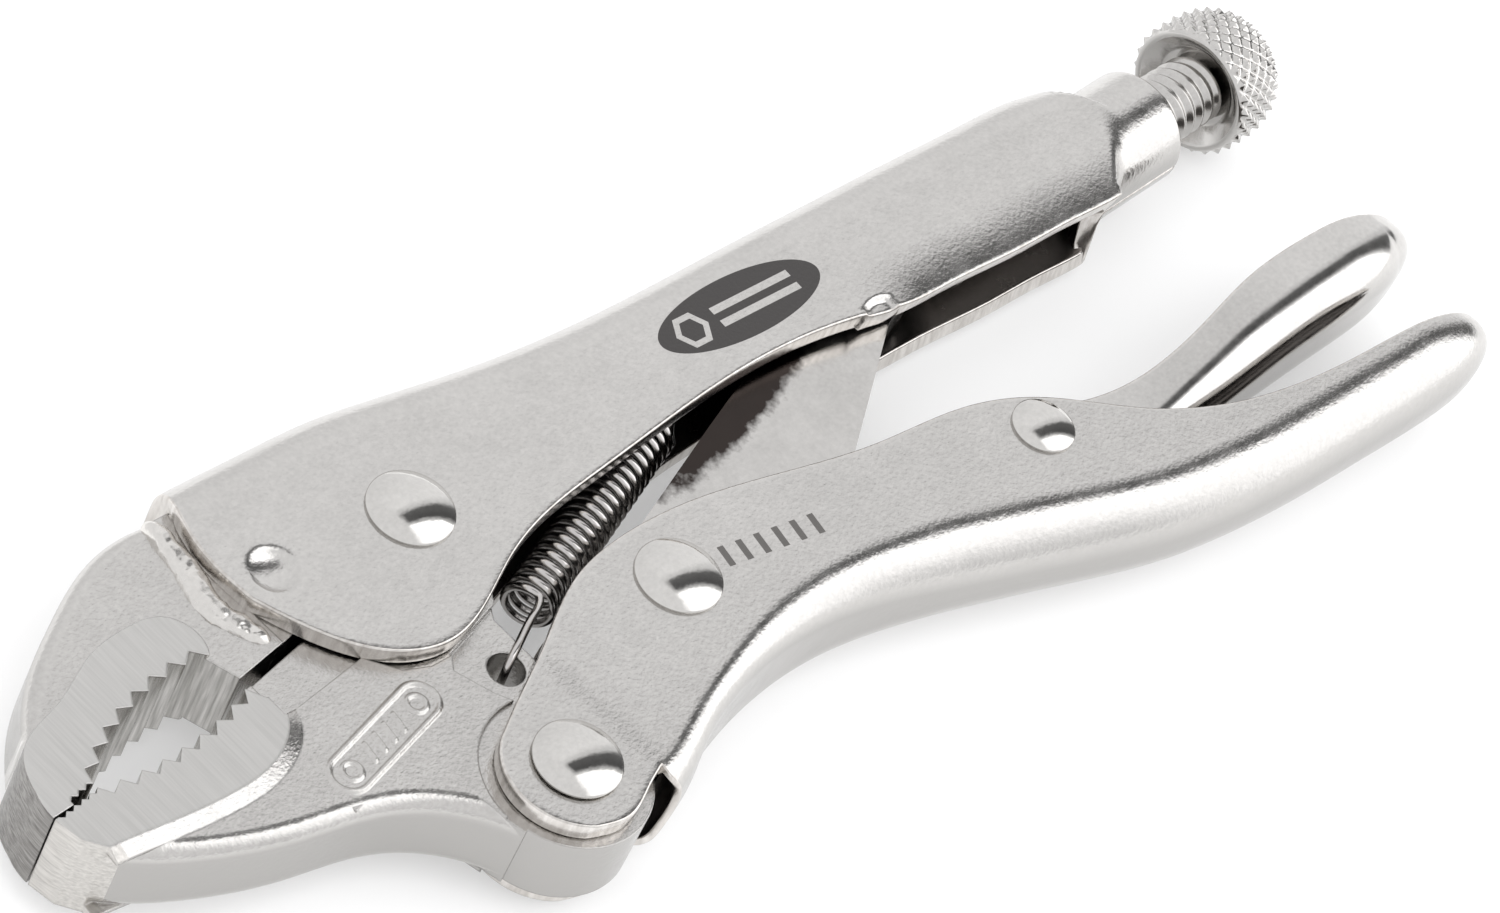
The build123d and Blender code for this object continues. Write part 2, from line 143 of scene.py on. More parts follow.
studio = {
    # the camera stands at target + offset from the jaw pivot
    "target": (-0.5, -0.2, 6.2), "offset": (-365.19, -172.86, 447.23),
    "right": (0.63883, -0.69851, 0.32248),
    "up": (0.42083, 0.66815, 0.61358),
    "back": (-0.64405, -0.25626, 0.72078),
    "lens": 156.0, "sensor": 36.0, "clip": (0.01, 10.0),
    "floor": (0.6, 0.6, 0.6), "floorGlow": 0.36, "floorSide": 3.0, "floorRough": 0.9, "floorShine": 0.1,
    "lamp": 1.6, "lampSpread": 120,
    # a bright panel stands on the toward side behind a dark gap, and both fade out off the gapSide
    "toward": (-0.2, -0.98, 0.0), "gapSide": (1.0, 0.0, 0.0), "gapFade": (0.0, 0.14),
    "plain": (0.95, 0.95, 0.96), "blueLift": 1.01,
    # place from the far side (0) to the toward side (1), and the brightness there
    "room": ((0.0, 0.9), (0.20, 1.0), (0.31, 1.03), (0.365, 0.82), (0.41, 0.14), (0.50, 0.10),
             (0.54, 0.60), (0.57, 2.1), (0.78, 1.7), (1.0, 0.8))}


def addCamera(s):
    data = bpy.data.cameras.new("viewCamera")
    data.lens, data.sensor_width = s["lens"], s["sensor"]
    data.clip_start, data.clip_end = s["clip"]
    cam = bpy.data.objects.new("viewCamera", data)
    turn = Matrix((s["right"], s["up"], s["back"])).transposed().to_4x4()
    spot = (Vector(pivot) + Vector(s["target"]) + Vector(s["offset"])) * mm
    cam.matrix_world = Matrix.Translation(spot) @ turn
    bpy.context.scene.collection.objects.link(cam)
    bpy.context.scene.camera = cam


def addRoom(s):
    # brightness of the room by the dot product of the direction with the toward direction
    world = bpy.data.worlds.new("paleRoom")
    world.use_nodes = True
    tree = world.node_tree
    where = tree.nodes.new("ShaderNodeTexCoord").outputs["Generated"]
    ramp = tree.nodes.new("ShaderNodeValToRGB")
    ramp.color_ramp.interpolation = "EASE"
    stops = ramp.color_ramp.elements
    for i, (spot, value) in enumerate(s["room"]):
        stop = stops[i] if i < 2 else stops.new(spot)
        stop.position = spot
        stop.color = (value, value, value * s["blueLift"], 1)
    tree.links.new(remap(tree, dotWith(tree, where, s["toward"]), -1.0, 1.0), ramp.inputs["Fac"])
    # panel and gap stand on one side only, the rest of the room is plain
    share = remap(tree, dotWith(tree, where, s["gapSide"]), *s["gapFade"])
    blend = mixColour(tree, share, s["plain"], ramp.outputs["Color"])
    tree.links.new(blend, tree.nodes["Background"].inputs["Color"])
    bpy.context.scene.world = world


def addFloor(s):
    side = s["floorSide"]
    mesh = bpy.data.meshes.new("floor")
    mesh.from_pydata([(-side, -side, 0), (side, -side, 0), (side, side, 0), (-side, side, 0)], [],
                     [(0, 1, 2, 3)])
    floor = bpy.data.objects.new("floor", mesh)
    bpy.context.scene.collection.objects.link(floor)
    look = bpy.data.materials.new("paleFloor")
    look.use_nodes = True
    shader = look.node_tree.nodes["Principled BSDF"]
    shader.inputs["Base Color"].default_value = (*s["floor"], 1)
    shader.inputs["Emission Color"].default_value = (1, 1, 1, 1)
    shader.inputs["Emission Strength"].default_value = s["floorGlow"]
    shader.inputs["Roughness"].default_value = s["floorRough"]
    shader.inputs["Specular IOR Level"].default_value = s["floorShine"]
    mesh.materials.append(look)
    data = bpy.data.lights.new("overheadSoft", "SUN")
    data.energy, data.angle = s["lamp"], math.radians(s["lampSpread"])
    lamp = bpy.data.objects.new("overheadSoft", data)
    lamp.visible_glossy = False  # it only lifts the floor, the metal mirrors the room
    bpy.context.scene.collection.objects.link(lamp)


addCamera(studio)
addRoom(studio)
addFloor(studio)
bpy.context.scene.view_settings.view_transform = "Standard"
print("studio ready")


def throughPoints(knots, at, key=None):
    # natural cubic through the knots, read at fractions of its chord length or of the key
    p = np.asarray(knots, float)
    steps = np.linalg.norm(np.diff(p, axis=0), axis=1)
    s = np.concatenate(([0], np.cumsum(steps))) if key is None else np.asarray(key, float)
    s = (s - s[0]) / (s[-1] - s[0])
    h, n = np.diff(s), len(s)
    i = np.arange(1, n - 1)
    system = np.zeros((n, n))
    system[0, 0] = system[-1, -1] = 1
    system[i, i - 1], system[i, i], system[i, i + 1] = h[:-1], 2 * (h[:-1] + h[1:]), h[1:]
    right = np.zeros((n, p.shape[1]))
    right[1:-1] = 6 * np.diff(np.diff(p, axis=0) / h[:, None], axis=0)
    m = np.linalg.solve(system, right)
    at = np.clip(at, 0, 1)
    k = np.clip(np.searchsorted(s, at) - 1, 0, n - 2)
    a, b, w = (at - s[k])[:, None], (s[k + 1] - at)[:, None], h[k][:, None]
    bend = (m[k] * b ** 3 + m[k + 1] * a ** 3) / (6 * w)
    return bend + (p[k] / w - m[k] * w / 6) * b + (p[k + 1] / w - m[k + 1] * w / 6) * a


def ease(x, low, high):
    # smooth step from 0 at low to 1 at high
    t = np.clip((x - low) / (high - low), 0, 1)
    return t * t * (3 - 2 * t)


def finishPiece(name, points, faces, kinds, looks, body, replaced):
    # points in millimetres around the jaw pivot, faces as rows of three or four point numbers,
    # kinds as each face's place in looks, or one place for all of them
    mesh = bpy.data.meshes.new(name)
    used, again = np.unique(np.concatenate([f.ravel() for f in faces]), return_inverse=True)
    spots = (np.asarray(points)[used] + pivot) * mm
    sizes = np.concatenate([np.full(len(f), f.shape[1]) for f in faces])
    starts = np.concatenate(([0], np.cumsum(sizes)[:-1]))
    mesh.vertices.add(len(spots))
    mesh.vertices.foreach_set("co", spots.astype(np.float32).ravel())
    mesh.loops.add(len(again))
    mesh.loops.foreach_set("vertex_index", again.astype(np.int32).ravel())
    mesh.polygons.add(len(sizes))
    mesh.polygons.foreach_set("loop_start", starts.astype(np.int32))
    mesh.polygons.foreach_set("material_index", (np.zeros(len(sizes)) + kinds).astype(np.int32))
    mesh.update(calc_edges=True)
    mesh.validate()
    for look in looks:
        mesh.materials.append(look)
    shape = bmesh.new()
    shape.from_mesh(mesh)
    bmesh.ops.remove_doubles(shape, verts=shape.verts, dist=mergeGap)
    bmesh.ops.recalc_face_normals(shape, faces=shape.faces)
    shape.to_mesh(mesh)
    shape.free()
    mesh.shade_smooth()
    piece = bpy.data.objects.new(name, mesh)
    bpy.context.scene.collection.objects.link(piece)
    if isinstance(body, str):
        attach(piece, body)
    else:
        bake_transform(piece)
    if replaced:
        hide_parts(*replaced)
    print("piece", name, len(mesh.vertices), "points")


def sheetSolid(outer, thick, keep, rimOut, facing):
    # the outer grid, the same grid moved in along its normals by the sheet thickness, and a
    # rounded rim (superellipse of the sheet thickness and rimOut) along every free edge;
    # the face kinds are 0 outside, 1 on the rim and 2 inside, and outside faces +Z at facing
    nu, nv = outer.shape[:2]
    total = nu * nv
    normal = np.cross(np.gradient(outer, axis=0), np.gradient(outer, axis=1))
    normal /= np.maximum(np.linalg.norm(normal, axis=2, keepdims=True), tiny)
    index = np.arange(total).reshape(nu, nv)
    corners = (index[:-1, :-1], index[1:, :-1], index[1:, 1:], index[:-1, 1:])
    front = np.stack([c[keep] for c in corners], 1)
    if normal[facing][2] < 0:
        normal, front = -normal, front[:, ::-1]
    flat, out = outer.reshape(-1, 3), normal.reshape(-1, 3)
    depth = np.broadcast_to(thick, (nu, nv)).reshape(-1, 1)
    inner = flat - out * depth
    edges = np.concatenate([front[:, [i, (i + 1) % 4]] for i in range(4)])
    code = edges.min(axis=1) * total + edges.max(axis=1)
    _, first, count = np.unique(code, return_index=True, return_counts=True)
    rim = edges[first[count == 1]]
    side = np.cross(flat[rim[:, 1]] - flat[rim[:, 0]], out[rim[:, 0]])
    side /= np.maximum(np.linalg.norm(side, axis=1, keepdims=True), tiny)
    push = np.zeros_like(flat)
    np.add.at(push, rim[:, 0], side)
    np.add.at(push, rim[:, 1], side)
    ids, local = np.unique(rim, return_inverse=True)
    local = local.reshape(rim.shape)
    push = push[ids] / np.maximum(np.linalg.norm(push[ids], axis=1, keepdims=True), tiny)
    rows, power = 7, 0.5
    angle = (np.pi * np.arange(1, rows) / rows)[:, None, None]
    across = np.sign(np.cos(angle)) * np.abs(np.cos(angle)) ** power
    middle = flat[ids] - out[ids] * depth[ids] / 2
    curve = middle + across * out[ids] * depth[ids] / 2 + np.sin(angle) ** power * rimOut * push
    points = np.concatenate((flat, inner, curve.reshape(-1, 3)))
    ladder = np.concatenate((ids[None], 2 * total + np.arange(curve[..., 0].size).reshape(rows - 1, -1),
                             ids[None] + total))
    start, end = ladder[:, local[:, 0]], ladder[:, local[:, 1]]
    band = np.stack((end[:-1], start[:-1], start[1:], end[1:]), -1).reshape(-1, 4)
    faces = np.concatenate((front, front[:, ::-1] + total, band))
    kinds = np.concatenate((np.zeros(len(front)), np.full(len(front), 2), np.ones(len(band))))
    return points, faces, kinds


def channelGrid(edge, spine, half, bend, curl, curlSpan, counts):
    # Half a section runs from the free edge up a straight wall, round a quarter circle of radius
    # bend and along the flat spine to the middle; the other half is its mirror image.
    # The wall leans in by curl at the edge, as the square of the distance left to curlSpan.
    wall, arc, flat = counts
    rise = spine - edge
    height = np.linalg.norm(rise, axis=1)[:, None]
    half, bend, curl = half[:, None], bend[:, None], curl[:, None]
    up = np.linspace(0, 1, wall)[None] * (height - bend)
    turn = np.linspace(0, np.pi / 2, arc + 1)[None, 1:]
    rest = np.linspace(0, 1, flat + 1)[None, 1:]
    h = np.concatenate((up, height - bend + bend * np.sin(turn), height + 0 * rest), 1)
    z = np.concatenate((half - curl * np.clip(1 - up / curlSpan, 0, 1) ** 2,
                        half - bend + bend * np.cos(turn), (half - bend) * (1 - rest)), 1)
    h = np.concatenate((h, h[:, -2::-1]), 1)
    z = np.concatenate((z, -z[:, -2::-1]), 1)
    xy = edge[:, None] + (rise / height)[:, None] * h[..., None]
    return np.concatenate((xy, z[..., None]), 2), h / height


def closeRings(rows, count):
    # quads between neighbouring rings, and a fan at each end round the two points after the rings
    index = np.arange(rows * count).reshape(rows, count)
    after = np.roll(index, -1, axis=1)
    quads = np.stack((index[:-1], after[:-1], after[1:], index[1:]), -1).reshape(-1, 4)
    low = np.stack((after[0], index[0], np.full(count, index.size)), 1)
    high = np.stack((index[-1], after[-1], np.full(count, index.size + 1)), 1)
    return [quads, low, high]


def revolve(profile, centre, axis, count):
    # a profile of (distance from the axis, place along it) turned in count steps, poles included
    r, s = np.asarray(profile, float).T
    angle = np.linspace(0, 2 * np.pi, count, endpoint=False)
    return ringGrid(np.repeat(r[:, None], count, 1), s, angle, centre, axis)


def ringGrid(radius, along, angle, centre, axis):
    # closed rings of given radius at each place along an axis (0 for X, 2 for Z), ends filled
    rows, count = radius.shape
    c, w = radius * np.cos(angle), radius * np.sin(angle)
    s = np.broadcast_to(np.reshape(along, (rows, -1)), (rows, count))
    grid = np.stack((s, c, w) if axis == 0 else (c, w, s), 2)
    points = np.concatenate((grid.reshape(-1, 3), grid[0].mean(0)[None], grid[-1].mean(0)[None]))
    return points + np.asarray(centre, float), closeRings(rows, count)


ringAim = (0.13, 0.31, 0.94)  # a direction that no tube runs along


def tubeGrid(path, radius, count):
    # a round tube along a path: each ring stands square to it and starts square to ringAim
    tangent = np.gradient(path, axis=0)
    tangent /= np.linalg.norm(tangent, axis=1, keepdims=True)
    side = np.cross(tangent, ringAim)
    side /= np.linalg.norm(side, axis=1, keepdims=True)
    third = np.cross(tangent, side)
    angle = np.linspace(0, 2 * np.pi, count, endpoint=False)[None, :, None]
    radius = np.broadcast_to(radius, (len(path), count))[..., None]
    grid = path[:, None] + radius * (np.cos(angle) * side[:, None] + np.sin(angle) * third[:, None])
    points = np.concatenate((grid.reshape(-1, 3), path[:1], path[-1:]))
    return points, closeRings(len(path), count)


def startLook(name):
    look = bpy.data.materials.new(name)
    look.use_nodes = True
    tree = look.node_tree
    shader = tree.nodes["Principled BSDF"]
    shader.inputs["Metallic"].default_value = 1.0
    where = tree.nodes.new("ShaderNodeTexCoord").outputs["Object"]
    return look, tree, shader, where


def addBump(tree, shader, height, distance):
    bump = addNode(tree, "ShaderNodeBump", Strength=1.0, Distance=distance)
    tree.links.new(height, bump.inputs["Height"])
    tree.links.new(bump.outputs["Normal"], shader.inputs["Normal"])


plating = {
    # colour, roughness, and how fine and how deep in metres the orange peel is
    "sheet": ((0.66, 0.645, 0.625), 0.19, 2300, 3.4e-5),
    "smooth": ((0.64, 0.625, 0.605), 0.19, 1500, 0.6e-5),
    "polished": ((0.67, 0.655, 0.635), 0.13, 1200, 0.6e-5),
    "forged": ((0.64, 0.625, 0.605), 0.21, 2600, 4.2e-5),
    "weldSkin": ((0.78, 0.76, 0.73), 0.24, 1500, 3e-5),
    "knurl": ((0.68, 0.665, 0.645), 0.16, 2500, 0.6e-5),
    "dome": ((0.72, 0.705, 0.68), 0.07, 450, 2.4e-5),
    # painted shade: the inside faces of the sheets are nickel too, darkened here to stand for the shade
    # inside the channels
    "inside": ((0.20, 0.185, 0.175), 0.30, 1500, 2.0e-5),
    "wire": ((0.62, 0.60, 0.585), 0.16, 2200, 0.4e-5)}


# the side tone is painted shade: faces along Z are darkened to it
mottleAndSideShade = {"dark": 0.86, "cloudScale": 90, "cloudShare": 0.4, "grainScale": 1900, "grainShare": 0.6,
          "glossScale": 420, "glossSpan": (-0.04, 0.05), "paintedSideShade": 0.68, "sideSpan": (0.62, 0.15)}


def sideways(tree):
    # 0 on faces across Z, 1 on faces along Z, from the object's own normal
    parts = tree.nodes.new("ShaderNodeSeparateXYZ")
    tree.links.new(tree.nodes.new("ShaderNodeTexCoord").outputs["Normal"], parts.inputs[0])
    return remap(tree, mathNode(tree, "ABSOLUTE", parts.outputs[2]), *mottleAndSideShade["sideSpan"])


def platedLook(kind, paintedSideShade=mottleAndSideShade["paintedSideShade"]):
    # nickel over steel: orange-peel bump, cloudy tint, uneven gloss, and painted shade that darkens faces
    # along Z
    colour, gloss, scale, height = plating[kind]
    look, tree, shader, where = startLook(kind)
    peel = noise(tree, where, scale, 3.0)
    cloud = noise(tree, where, mottleAndSideShade["cloudScale"], 3.0)
    dark, side = (tuple(tone * c for c in colour) for tone in (mottleAndSideShade["dark"], paintedSideShade))
    fine = multiply(tree, noise(tree, where, mottleAndSideShade["grainScale"]), mottleAndSideShade["grainShare"])
    grain = mathNode(tree, "MULTIPLY_ADD", cloud, mottleAndSideShade["cloudShare"], fine)
    tone = mixColour(tree, spread(tree, grain, 0, 1), dark, colour)
    # painted shade: faces along Z take the darker side tone
    tree.links.new(mixColour(tree, sideways(tree), tone, side), shader.inputs["Base Color"])
    patch = noise(tree, where, mottleAndSideShade["glossScale"])
    rough = spread(tree, patch, *(gloss + step for step in mottleAndSideShade["glossSpan"]))
    tree.links.new(rough, shader.inputs["Roughness"])
    addBump(tree, shader, peel, height)
    return look, tree, shader, where


sheared = {"scale": 1600, "stretch": (1.0, 1.0, 0.15), "gloss": 0.24, "height": 2e-5,
           "tones": ((0.56, 0.53, 0.50), (0.76, 0.735, 0.705))}


def shearedLook(s):
    # cut edge of the sheet: warm grey, streaked across the thickness
    look, tree, shader, where = startLook("shearedEdge")
    streak = noise(tree, where, s["scale"], 2.0, s["stretch"])
    tree.links.new(mixColour(tree, spread(tree, streak, 0, 1), *s["tones"]), shader.inputs["Base Color"])
    shader.inputs["Roughness"].default_value = s["gloss"]
    addBump(tree, shader, streak, s["height"])
    return look


badge = {"centre": (47.2, -0.5), "half": (10.9, 3.6), "tilt": -4.5, "ink": (0.035, 0.032, 0.031),
         "hexAt": -6.6, "hexOut": 1.9, "hexIn": 1.25, "hexSlant": (0.866, 0.5),
         "barFrom": -3.2, "barTo": 7.6, "barAt": 0.85, "barHalf": 0.42}
ticks = {"centre": (28.2, -22.2), "half": (6.0, 1.2), "tilt": -12.0, "pitch": 2.2, "halfLine": 0.17,
         "ink": (0.09, 0.085, 0.08)}
inkRough = 0.42
markDepth = 0.6  # a mark reaches this far in from the outer face of the near wall


def markPlace(tree, where, mark):
    # place on the near wall in millimetres along and across the mark, and whether it is outside
    turned = addNode(tree, "ShaderNodeMapping")
    turned.vector_type = "TEXTURE"
    x, y = mark["centre"]
    turned.inputs["Location"].default_value = ((x + pivot[0]) * mm, (y + pivot[1]) * mm, 0)
    turned.inputs["Rotation"].default_value = (0, 0, math.radians(mark["tilt"]))
    turned.inputs["Scale"].default_value = (mm, mm, mm)
    tree.links.new(where, turned.inputs["Vector"])
    parts = tree.nodes.new("ShaderNodeSeparateXYZ")
    tree.links.new(turned.outputs["Vector"], parts.inputs[0])
    outside = mathNode(tree, "GREATER_THAN", parts.outputs[2], float(pivot[2] + wallZ - markDepth))
    return parts.outputs[0], parts.outputs[1], outside


def ovalField(tree, u, v, half):
    # (u / half[0])^2 + (v / half[1])^2: 0 in the middle of an oval, 1 on its outline
    return mathNode(tree, "ADD", multiply(tree, u, u, 1 / half[0] ** 2),
                    multiply(tree, v, v, 1 / half[1] ** 2))


def inkOver(tree, shader, mask, ink):
    # the mask turns the plating into matt ink
    old = shader.inputs["Base Color"].links[0].from_socket
    gloss = shader.inputs["Roughness"].links[0].from_socket
    tree.links.new(mixColour(tree, mask, old, ink), shader.inputs["Base Color"])
    tree.links.new(mixValue(tree, mask, gloss, inkRough), shader.inputs["Roughness"])
    tree.links.new(mixValue(tree, mask, 1.0, 0.0), shader.inputs["Metallic"])


def handleLook(b):
    # printed oval with a plain hexagon and two bars left bright
    look, tree, shader, where = platedLook("sheet")
    look.name = "sheetWithBadge"
    u, v, outside = markPlace(tree, where, b)
    oval = mathNode(tree, "LESS_THAN", ovalField(tree, u, v, b["half"]), 1.0)
    fromHex = mathNode(tree, "ABSOLUTE", mathNode(tree, "SUBTRACT", u, b["hexAt"]))
    flatSide = mathNode(tree, "ABSOLUTE", v)
    slant = mathNode(tree, "ADD", multiply(tree, fromHex, b["hexSlant"][0]),
                     multiply(tree, flatSide, b["hexSlant"][1]))
    reach = mathNode(tree, "MAXIMUM", flatSide, slant)
    hexagon = multiply(tree, mathNode(tree, "LESS_THAN", reach, b["hexOut"]),
                       mathNode(tree, "GREATER_THAN", reach, b["hexIn"]))
    nearBar = mathNode(tree, "ABSOLUTE", mathNode(tree, "SUBTRACT", flatSide, b["barAt"]))
    bars = multiply(tree, mathNode(tree, "LESS_THAN", nearBar, b["barHalf"]),
                    mathNode(tree, "GREATER_THAN", u, b["barFrom"]),
                    mathNode(tree, "LESS_THAN", u, b["barTo"]))
    bright = mathNode(tree, "MAXIMUM", hexagon, bars)
    inked = multiply(tree, oval, outside, mathNode(tree, "SUBTRACT", 1.0, bright))
    inkOver(tree, shader, inked, b["ink"])
    return look


def leverLook(s):
    # a plain row of printed ticks on the near wall
    look, tree, shader, where = platedLook("sheet")
    look.name = "sheetWithTicks"
    u, v, outside = markPlace(tree, where, s)
    inside = multiply(tree, mathNode(tree, "LESS_THAN", mathNode(tree, "ABSOLUTE", u), s["half"][0]),
                      mathNode(tree, "LESS_THAN", mathNode(tree, "ABSOLUTE", v), s["half"][1]))
    stripe = mathNode(tree, "FRACT", multiply(tree, u, 1 / s["pitch"]))
    fromLine = mathNode(tree, "ABSOLUTE", mathNode(tree, "SUBTRACT", stripe, 0.5))
    bar = mathNode(tree, "LESS_THAN", fromLine, s["halfLine"])
    inkOver(tree, shader, multiply(tree, inside, bar, outside), s["ink"])
    return look


def breakEdges(tree, shader, radius):
    # rounds the shading of sharp edges by the radius, under the bump
    node = tree.nodes.new("ShaderNodeBevel")
    node.samples = 6
    node.inputs["Radius"].default_value = radius * mm
    tree.links.new(node.outputs["Normal"], shader.inputs["Normal"].links[0].from_node.inputs["Normal"])


jawFinish = {
    "cheekZ": 4.97, "noseX": -48.9, "biteY": -6.3, "throat": (-36.5, -2.4), "throatHalf": (13.5, 5.2),
    "edgeR": 0.3,
    # dark and light tone of each ground surface, and a darker pair that paints shade on the nose above the
    # bite line
    "cheek": ((0.88 * 0.68, 0.88 * 0.67, 0.88 * 0.65), (0.68, 0.67, 0.65)),
    "nose": ((0.72 * 0.66, 0.72 * 0.64, 0.72 * 0.61), (0.66, 0.64, 0.61)),
    "paintedShadeNose": ((0.16, 0.152, 0.145), (0.36, 0.35, 0.335)),
    "strokes": ((0.40, 0.39, 0.37), (0.80, 0.785, 0.765)),
    # scale, detail and stretch of the lines on cheek, nose and throat
    "fine": (3200, 3.0, (1.0, 0.035, 1.0)), "coarse": (3000, 3.0, (1.0, 0.05, 1.4)),
    "cut": (2600, 3.0, (1.0, 1.0, 0.06)),
    "cheekRough": 0.34, "noseRough": 0.30, "cheekBump": 0.22, "noseBump": 1.6, "cutBump": 0.8}


def jawLook(s):
    # forged skin, cheeks ground with fine lines along Y, nose ground coarsely around its outline, with
    # painted shade on the nose above the bite line
    look, tree, shader, where = platedLook("forged")
    look.name = "forgedAndGround"
    parts = tree.nodes.new("ShaderNodeSeparateXYZ")
    tree.links.new(where, parts.inputs[0])
    level = mathNode(tree, "ABSOLUTE", mathNode(tree, "SUBTRACT", parts.outputs[2], float(pivot[2]) * mm))
    cheek = mathNode(tree, "GREATER_THAN", level, s["cheekZ"] * mm)
    nose = mathNode(tree, "LESS_THAN", parts.outputs[0], float(pivot[0] + s["noseX"]) * mm)
    upper = mathNode(tree, "GREATER_THAN", parts.outputs[1], float(pivot[1] + s["biteY"]) * mm)
    fine, coarse, cut = (noise(tree, where, *s[lines]) for lines in ("fine", "coarse", "cut"))
    skin = shader.inputs["Base Color"].links[0].from_socket
    skinRough = shader.inputs["Roughness"].links[0].from_socket
    # flanks of the teeth and the throat show the cutter's strokes
    sx, sy = ((value + start) * mm for value, start in zip(s["throat"], pivot))
    across = mathNode(tree, "ABSOLUTE", mathNode(tree, "SUBTRACT", parts.outputs[0], float(sx)))
    rise = mathNode(tree, "ABSOLUTE", mathNode(tree, "SUBTRACT", parts.outputs[1], float(sy)))
    throat = multiply(tree, mathNode(tree, "LESS_THAN", across, s["throatHalf"][0] * mm),
                      mathNode(tree, "LESS_THAN", rise, s["throatHalf"][1] * mm), sideways(tree))
    skin = mixColour(tree, throat, skin, mixColour(tree, spread(tree, cut, 0, 1), *s["strokes"]))
    bump = shader.inputs["Normal"].links[0].from_node
    peel = mixValue(tree, throat, bump.inputs["Height"].links[0].from_socket,
                    multiply(tree, cut, s["cutBump"]))
    breakEdges(tree, shader, s["edgeR"])
    # painted shade: above the bite line the nose takes the darker tone
    cheekTone = mixColour(tree, spread(tree, fine, 0, 1), *s["cheek"])
    noseTone, paintedShadeNose = (mixColour(tree, spread(tree, coarse, 0, 1), *s[part])
                         for part in ("nose", "paintedShadeNose"))
    tone = mixColour(tree, nose, skin, mixColour(tree, upper, noseTone, paintedShadeNose))
    tree.links.new(mixColour(tree, cheek, tone, cheekTone), shader.inputs["Base Color"])
    rough = mixValue(tree, nose, skinRough, s["noseRough"])
    tree.links.new(mixValue(tree, cheek, rough, s["cheekRough"]), shader.inputs["Roughness"])
    height = mixValue(tree, nose, peel, multiply(tree, coarse, s["noseBump"]))
    tree.links.new(mixValue(tree, cheek, height, multiply(tree, fine, s["cheekBump"])), bump.inputs["Height"])
    return look


# painted reflection: the handle's dark inside mirrored on the link, painted into its colour
paintedReflection = {"centre": (42.0, -5.0), "half": (20.0, 5.0), "tilt": 14.0, "colour": (0.045, 0.037, 0.034),
         "blotScale": 700, "blotShare": 1.1, "fade": (1.75, 1.30)}


def linkLook(s):
    # painted reflection of the handle's dark inside: a dark brown patch with a blotchy border on the stretch
    # that lies inside the handle
    look, tree, shader, where = platedLook("smooth")
    look.name = "smoothWithPaintedReflection"
    u, v, _ = markPlace(tree, where, s)
    blot = multiply(tree, noise(tree, where, s["blotScale"], 4.0), s["blotShare"])
    field = mathNode(tree, "ADD", ovalField(tree, u, v, s["half"]), blot)
    old = shader.inputs["Base Color"].links[0].from_socket
    darkReflection = mixColour(tree, remap(tree, field, *s["fade"]), old, s["colour"])
    tree.links.new(darkReflection, shader.inputs["Base Color"])
    return look


sheetLook, leverSheet = handleLook(badge), leverLook(ticks)
edgeLook, jawSkin = shearedLook(sheared), jawLook(jawFinish)
plainLooks = {kind: platedLook(kind)[0] for kind in ("smooth", "polished", "knurl", "dome", "inside", "wire")}
plainLooks["weldSkin"] = platedLook("weldSkin", 1.0)[0]
print("finishes ready")


handle = {
    # free edge x, y and spine x, y from the front to the rear
    "columns": ((-20.2, 1.0, -17.3, 15.8), (-18.5, -3.1, -13.5, 15.55), (-14.5, -9.3, -8.5, 15.15),
                (-7.1, -12.8, -1.5, 14.6), (4.5, -9.1, 6.7, 13.2), (20, -6.7, 20, 10.3),
                (37.5, -5.9, 37, 8.1), (57.5, -8.0, 58, 6.8), (63, -9.35, 63, 6.45), (70, -10.0, 70, 6.0),
                (80, -11.0, 80, 5.3), (88, -11.5, 88, 4.7), (95.5, -12.1, 95.5, 4.05),
                (102, -11.6, 102, 2.6), (109.5, -10.9, 109.5, 1.5)),
    "rows": 290, "crowd": 1.12, "counts": (42, 12, 5), "sheet": 2.0, "rim": 0.25, "bend": 4.4,
    "frontBulge": 1.36, "bulgeEnd": 0.08,
    "curl": 0.55, "curlFrom": 57.5, "curlTo": 67.0, "curlSpan": 5.5,
    "dimple": (-16.2, 2.1), "dimpleR": 2.65, "dimpleDepth": 0.85, "dimpleSlope": 0.8,
    "bumpX": 43.0, "bumpHigh": 0.4, "bumpLong": 2.0, "bumpWide": 2.2, "flatShare": 0.999,
    "notchX": 60.2, "notchHalf": 1.9, "notchSide": 0.5, "notchTop": -7.4, "notchRim": (-0.3, 0.1),
    "notchBow": 0.15, "notchDepth": 0.55,
    "axisY": -4.7, "collarR": 6.2, "seam": 2.5,
    # the fold where the channel drops to the collar: y and x
    "fold": ((-13.0, 95.2), (-11.0, 96.0), (-7.0, 99.6), (-4.0, 101.3), (-2.0, 101.6),
             (0.5, 100.4), (4.0, 98.5)),
    "foldWidth": 1.7}


